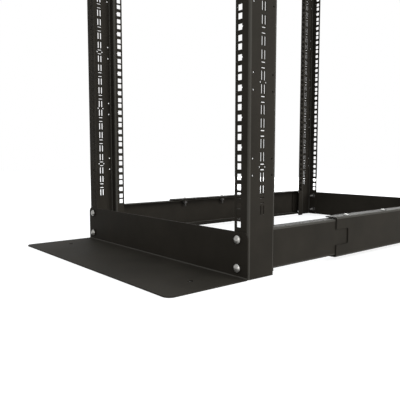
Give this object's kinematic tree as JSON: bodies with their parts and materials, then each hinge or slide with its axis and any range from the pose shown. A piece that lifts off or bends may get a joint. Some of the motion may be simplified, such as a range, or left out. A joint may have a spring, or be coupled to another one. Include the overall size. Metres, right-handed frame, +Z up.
{
  "type": "four-post open frame rack",
  "caption": "Open frame equipment rack of folded black sheet-metal posts with square mounting holes, joined by cross panels and telescoping side rails, with a floor plate in front.",
  "frame": {"origin": "on the floor under the middle of the bounding box, floor plate included", "axes": "+X to the right seen from the front, +Y from the front to the rear, +Z up"},
  "size_m": [0.5096, 0.9564, 1.069],
  "materials": {
    "black_powder_coat": "satin black powder coat with a fine texture",
    "bright_zinc": "bright zinc-plated bolts and nuts"
  },
  "bodies": {
    "root": {"front_stabilizer": "black_powder_coat", "rear_base_panel": "black_powder_coat", "front_top_panel": "black_powder_coat", "rear_top_panel": "black_powder_coat", "left_front_post": "black_powder_coat", "left_rear_post": "black_powder_coat", "right_front_post": "black_powder_coat", "right_rear_post": "black_powder_coat", "left_base_rail_front_channel": "black_powder_coat", "left_base_rail_rear_channel": "black_powder_coat", "left_top_rail_front_channel": "black_powder_coat", "left_top_rail_rear_channel": "black_powder_coat", "right_base_rail_front_channel": "black_powder_coat", "right_base_rail_rear_channel": "black_powder_coat", "right_top_rail_front_channel": "black_powder_coat", "right_top_rail_rear_channel": "black_powder_coat", "left_base_rail_front_bracket": "black_powder_coat", "left_base_rail_rear_bracket": "black_powder_coat", "left_top_rail_front_bracket": "black_powder_coat", "left_top_rail_rear_bracket": "black_powder_coat", "right_base_rail_front_bracket": "black_powder_coat", "right_base_rail_rear_bracket": "black_powder_coat", "right_top_rail_front_bracket": "black_powder_coat", "right_top_rail_rear_bracket": "black_powder_coat"}
  },
  "joints": []
}
